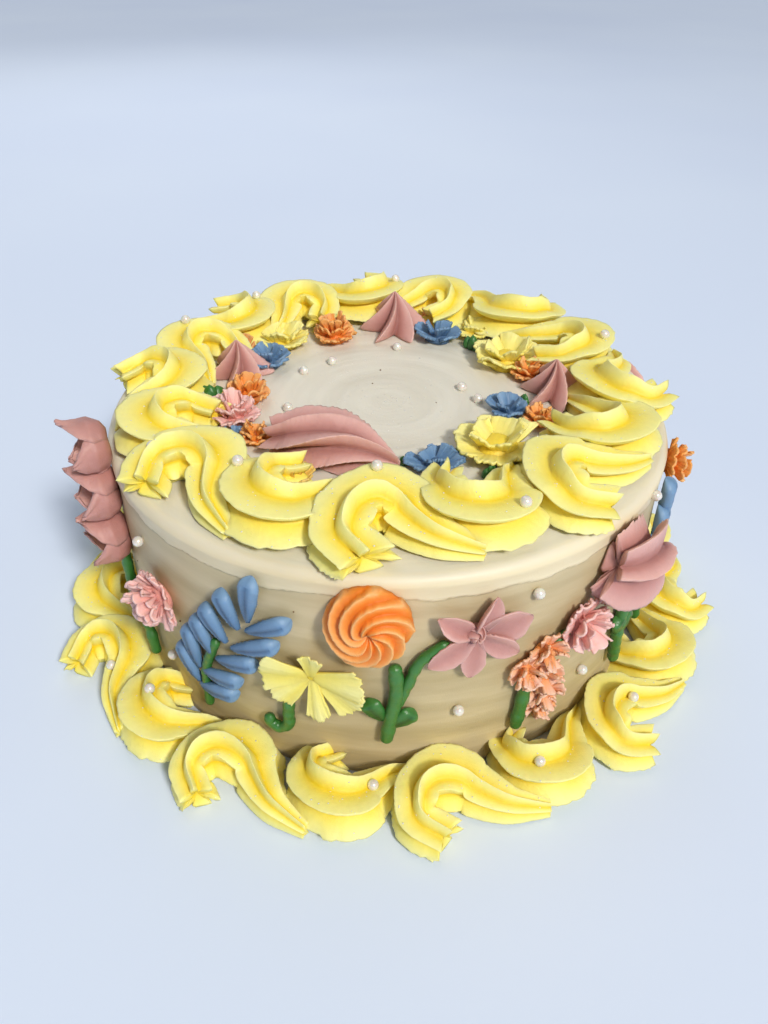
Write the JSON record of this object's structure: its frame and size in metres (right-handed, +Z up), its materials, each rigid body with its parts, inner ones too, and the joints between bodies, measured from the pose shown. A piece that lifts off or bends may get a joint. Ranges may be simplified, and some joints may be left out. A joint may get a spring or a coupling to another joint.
{
  "type": "buttercream flower cake",
  "caption": "Round single-tier buttercream cake with lemon-yellow piped scroll borders, piped flowers on green stems round the wall and a ring of flowers and sugar pearls on top.",
  "frame": {"origin": "centre of the cake's flat underside", "axes": "+Z up; -Y is the side that faces the camera in the picture"},
  "size_m": [0.2642, 0.2662, 0.1098],
  "materials": {
    "blue_icing": "satin buttercream icing",
    "cream_icing": "satin buttercream icing",
    "green_icing": "satin buttercream icing",
    "lemon_icing": "satin buttercream icing",
    "mauve_icing": "satin buttercream icing",
    "orange_icing": "satin buttercream icing",
    "peach_icing": "satin buttercream icing",
    "pink_icing": "satin buttercream icing"
  },
  "bodies": {
    "root": {"back_blue_fern": "blue_icing", "back_fern_stem": "green_icing", "back_mauve_flower": "mauve_icing", "back_mauve_rosette": "mauve_icing", "back_orange_rosette": "orange_icing", "back_pink_carnation": "pink_icing", "back_stem_mauve": "green_icing", "back_stem_orange": "green_icing", "back_stem_pink": "green_icing", "back_stem_rosette": "green_icing", "back_yellow_flower": "lemon_icing", "blue_blossom_back": "blue_icing", "blue_blossom_front": "blue_icing", "blue_blossom_left": "blue_icing", "blue_blossom_right": "blue_icing", "blue_fern": "blue_icing", "blue_petals": "blue_icing", "bottom_border": "lemon_icing", "branch_mauve": "green_icing", "cake": "cream_icing", "fern_stem": "green_icing", "leaf_back": "green_icing", "leaf_left": "green_icing", "mauve_flower": "mauve_icing", "mauve_rosette": "mauve_icing", "mauve_star_back": "mauve_icing", "mauve_star_left": "mauve_icing", "mauve_star_right": "mauve_icing", "mauve_swirl": "mauve_icing", "mauve_tulips": "mauve_icing", "orange_blossom_back": "orange_icing", "orange_blossom_right": "orange_icing", "orange_bud_back": "orange_icing", "orange_bud_behind": "orange_icing", "orange_bud_left": "orange_icing", "orange_bud_right": "orange_icing", "orange_carnation": "orange_icing", "orange_flower_right": "orange_icing", "orange_rosette": "orange_icing", "peach_blossoms": "peach_icing", "pink_carnation_left": "pink_icing", "pink_carnation_right": "pink_icing", "pink_carnation_top": "pink_icing", "stem_blue": "green_icing", "stem_orange": "green_icing", "stem_peach": "green_icing", "stem_pink_left": "green_icing", "stem_pink_right": "green_icing", "stem_rosette": "green_icing", "stem_tulips": "green_icing", "stem_yellow": "green_icing", "top_border": "lemon_icing", "yellow_bud_back": "lemon_icing", "yellow_flower": "lemon_icing", "yellow_flower_top": "lemon_icing", "yellow_ruffle_back": "lemon_icing", "yellow_ruffle_front": "lemon_icing"}
  },
  "joints": []
}
